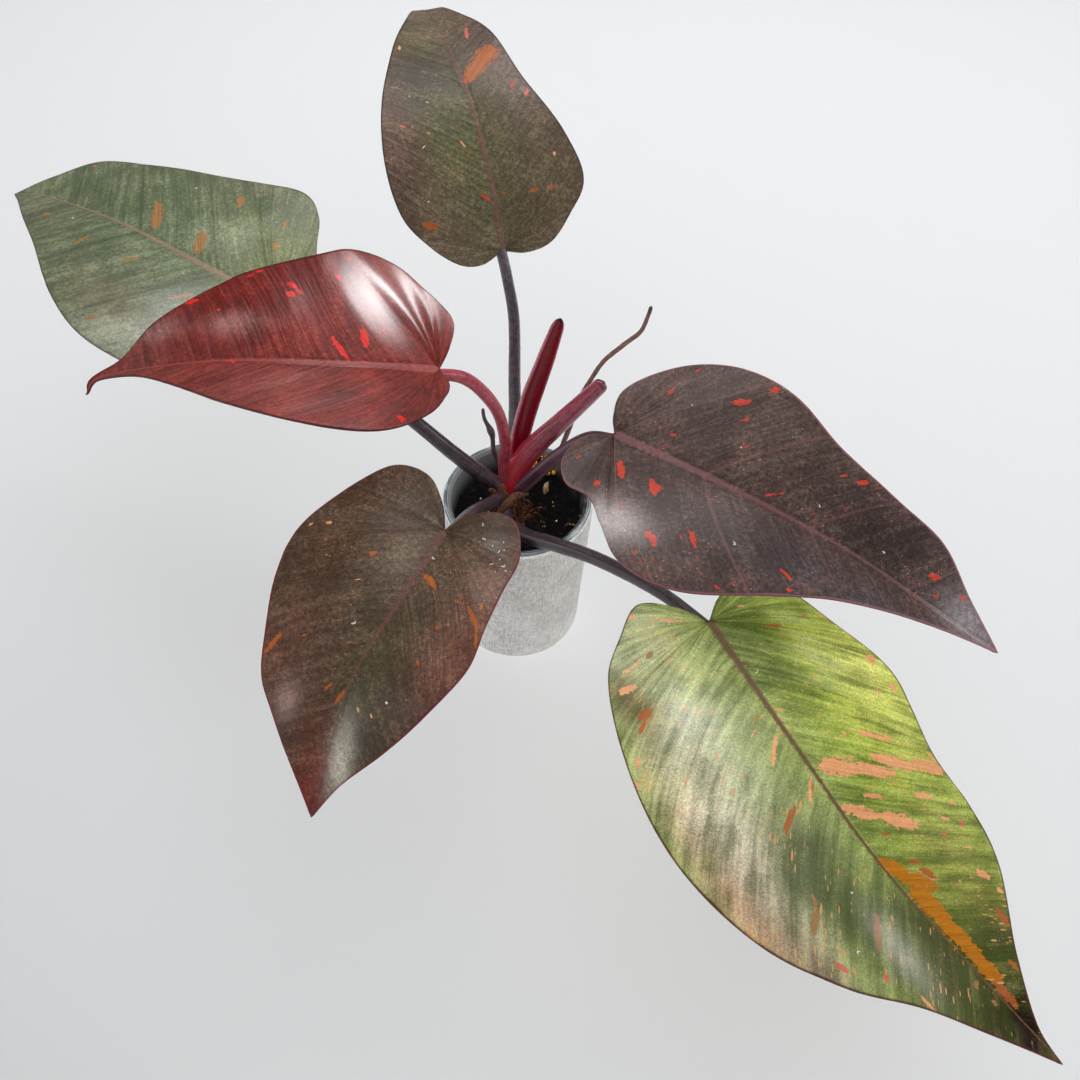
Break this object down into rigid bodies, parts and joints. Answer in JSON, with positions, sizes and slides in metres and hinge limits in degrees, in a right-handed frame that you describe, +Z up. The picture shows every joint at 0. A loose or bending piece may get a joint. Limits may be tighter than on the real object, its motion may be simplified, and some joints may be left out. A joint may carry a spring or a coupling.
{
  "type": "potted orange princess philodendron",
  "caption": "Young climbing aroid house plant with long heart-shaped leaves on arching stalks, rooted in soil in a small liner pot that stands inside a plain round cachepot.",
  "frame": {"origin": "centre of the cachepot's flat underside", "axes": "+Z up along the pot's axis; -Y towards the viewer of the picture, +X to the viewer's right"},
  "size_m": [0.5475, 0.5184, 0.2672],
  "materials": {
    "whitewashed_ceramic": "matte",
    "grey_liner": "gloss",
    "potting_soil": "matte",
    "crimson_tissue": "satin",
    "plum_stalk": "satin",
    "bronze_leaf": "satin",
    "grey_green_leaf": "satin",
    "red_leaf": "gloss",
    "purple_leaf": "satin",
    "green_orange_leaf": "satin",
    "brown_root": "matte"
  },
  "bodies": {
    "root": {"cachepot": "whitewashed_ceramic", "liner_pot": "grey_liner", "soil": "potting_soil", "stem": "crimson_tissue", "leaf_spike": "crimson_tissue", "open_cataphyll": "crimson_tissue", "petiole_top": "plum_stalk", "petiole_back_left": "plum_stalk", "petiole_red": "crimson_tissue", "petiole_right": "plum_stalk", "petiole_front_left": "plum_stalk", "petiole_front_right": "plum_stalk", "blade_top": "bronze_leaf", "blade_back_left": "grey_green_leaf", "blade_red": "red_leaf", "blade_right": "purple_leaf", "blade_front_left": "bronze_leaf", "blade_front_right": "green_orange_leaf", "aerial_root_long": "brown_root", "aerial_root_short": "brown_root", "dried_sheath": "brown_root"}
  },
  "joints": []
}
